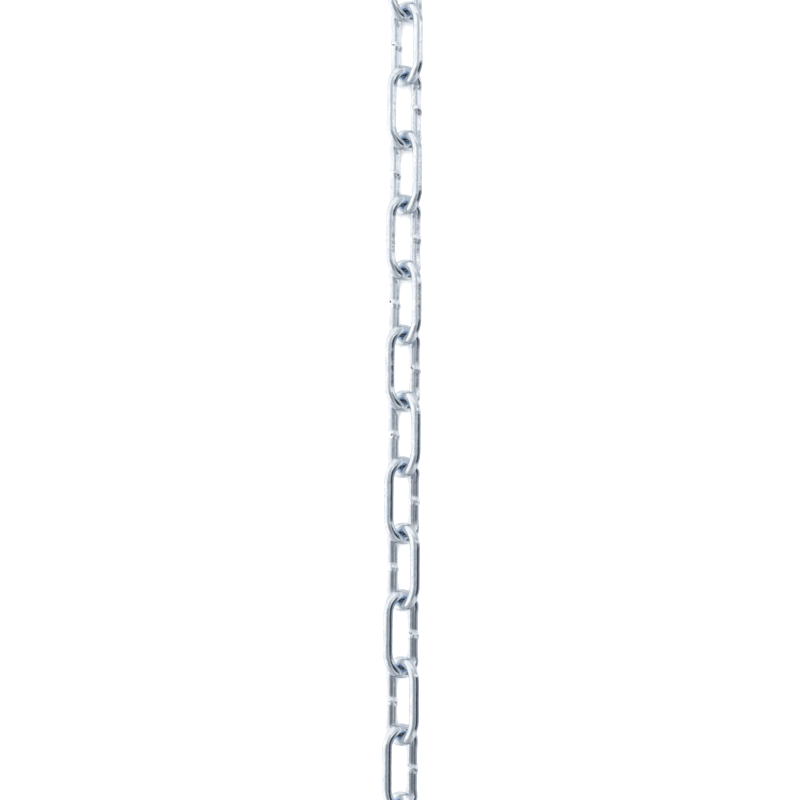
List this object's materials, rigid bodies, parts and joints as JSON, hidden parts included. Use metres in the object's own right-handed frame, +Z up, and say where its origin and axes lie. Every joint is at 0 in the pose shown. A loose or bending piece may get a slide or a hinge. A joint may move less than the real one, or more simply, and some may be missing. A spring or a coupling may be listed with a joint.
{
  "type": "steel chain length",
  "caption": "Straight length of welded long-link steel chain, zinc plated, its oval links leaning left and right in turn on a level floor.",
  "frame": {"origin": "on the floor under the centre of the middle link", "axes": "+Y along the chain, +Z up, +X across"},
  "size_m": [0.0286, 0.9912, 0.0237],
  "materials": {
    "zinc_plated_steel": "bright zinc plating with a cool tone over drawn and welded steel wire, lightly scuffed"
  },
  "bodies": {
    "link_01": {"link_01": "zinc_plated_steel"},
    "link_02": {"link_02": "zinc_plated_steel"},
    "link_03": {"link_03": "zinc_plated_steel"},
    "link_04": {"link_04": "zinc_plated_steel"},
    "link_05": {"link_05": "zinc_plated_steel"},
    "link_06": {"link_06": "zinc_plated_steel"},
    "link_07": {"link_07": "zinc_plated_steel"},
    "link_08": {"link_08": "zinc_plated_steel"},
    "link_09": {"link_09": "zinc_plated_steel"},
    "link_10": {"link_10": "zinc_plated_steel"},
    "link_11": {"link_11": "zinc_plated_steel"},
    "link_12": {"link_12": "zinc_plated_steel"},
    "link_13": {"link_13": "zinc_plated_steel"},
    "link_14": {"link_14": "zinc_plated_steel"},
    "link_15": {"link_15": "zinc_plated_steel"},
    "link_16": {"link_16": "zinc_plated_steel"},
    "link_17": {"link_17": "zinc_plated_steel"},
    "link_18": {"link_18": "zinc_plated_steel"},
    "link_19": {"link_19": "zinc_plated_steel"}
  },
  "joints": [
    {"name": "swing_09", "type": "hinge", "parent": "link_10", "child": "link_09", "pos_m": [0, -0.02564, 0.01203], "axis": [0, 0, 1], "range_deg": [-10, 10]},
    {"name": "swing_11", "type": "hinge", "parent": "link_10", "child": "link_11", "pos_m": [0, 0.02564, 0.01203], "axis": [0, 0, 1], "range_deg": [-10, 10]},
    {"name": "swing_08", "type": "hinge", "parent": "link_09", "child": "link_08", "pos_m": [0, -0.07693, 0.01203], "axis": [0, 0, 1], "range_deg": [-10, 10]},
    {"name": "swing_12", "type": "hinge", "parent": "link_11", "child": "link_12", "pos_m": [0, 0.07693, 0.01203], "axis": [0, 0, 1], "range_deg": [-10, 10]},
    {"name": "swing_07", "type": "hinge", "parent": "link_08", "child": "link_07", "pos_m": [0, -0.12822, 0.01203], "axis": [0, 0, 1], "range_deg": [-10, 10]},
    {"name": "swing_13", "type": "hinge", "parent": "link_12", "child": "link_13", "pos_m": [0, 0.12822, 0.01203], "axis": [0, 0, 1], "range_deg": [-10, 10]},
    {"name": "swing_06", "type": "hinge", "parent": "link_07", "child": "link_06", "pos_m": [0, -0.1795, 0.01203], "axis": [0, 0, 1], "range_deg": [-10, 10]},
    {"name": "swing_14", "type": "hinge", "parent": "link_13", "child": "link_14", "pos_m": [0, 0.1795, 0.01203], "axis": [0, 0, 1], "range_deg": [-10, 10]},
    {"name": "swing_05", "type": "hinge", "parent": "link_06", "child": "link_05", "pos_m": [0, -0.23079, 0.01203], "axis": [0, 0, 1], "range_deg": [-10, 10]},
    {"name": "swing_15", "type": "hinge", "parent": "link_14", "child": "link_15", "pos_m": [0, 0.23079, 0.01203], "axis": [0, 0, 1], "range_deg": [-10, 10]},
    {"name": "swing_04", "type": "hinge", "parent": "link_05", "child": "link_04", "pos_m": [0, -0.28208, 0.01203], "axis": [0, 0, 1], "range_deg": [-10, 10]},
    {"name": "swing_16", "type": "hinge", "parent": "link_15", "child": "link_16", "pos_m": [0, 0.28208, 0.01203], "axis": [0, 0, 1], "range_deg": [-10, 10]},
    {"name": "swing_03", "type": "hinge", "parent": "link_04", "child": "link_03", "pos_m": [0, -0.33337, 0.01203], "axis": [0, 0, 1], "range_deg": [-10, 10]},
    {"name": "swing_17", "type": "hinge", "parent": "link_16", "child": "link_17", "pos_m": [0, 0.33337, 0.01203], "axis": [0, 0, 1], "range_deg": [-10, 10]},
    {"name": "swing_02", "type": "hinge", "parent": "link_03", "child": "link_02", "pos_m": [0, -0.38465, 0.01203], "axis": [0, 0, 1], "range_deg": [-10, 10]},
    {"name": "swing_18", "type": "hinge", "parent": "link_17", "child": "link_18", "pos_m": [0, 0.38465, 0.01203], "axis": [0, 0, 1], "range_deg": [-10, 10]},
    {"name": "swing_01", "type": "hinge", "parent": "link_02", "child": "link_01", "pos_m": [0, -0.43594, 0.01203], "axis": [0, 0, 1], "range_deg": [-10, 10]},
    {"name": "swing_19", "type": "hinge", "parent": "link_18", "child": "link_19", "pos_m": [0, 0.43594, 0.01203], "axis": [0, 0, 1], "range_deg": [-10, 10]}
  ]
}
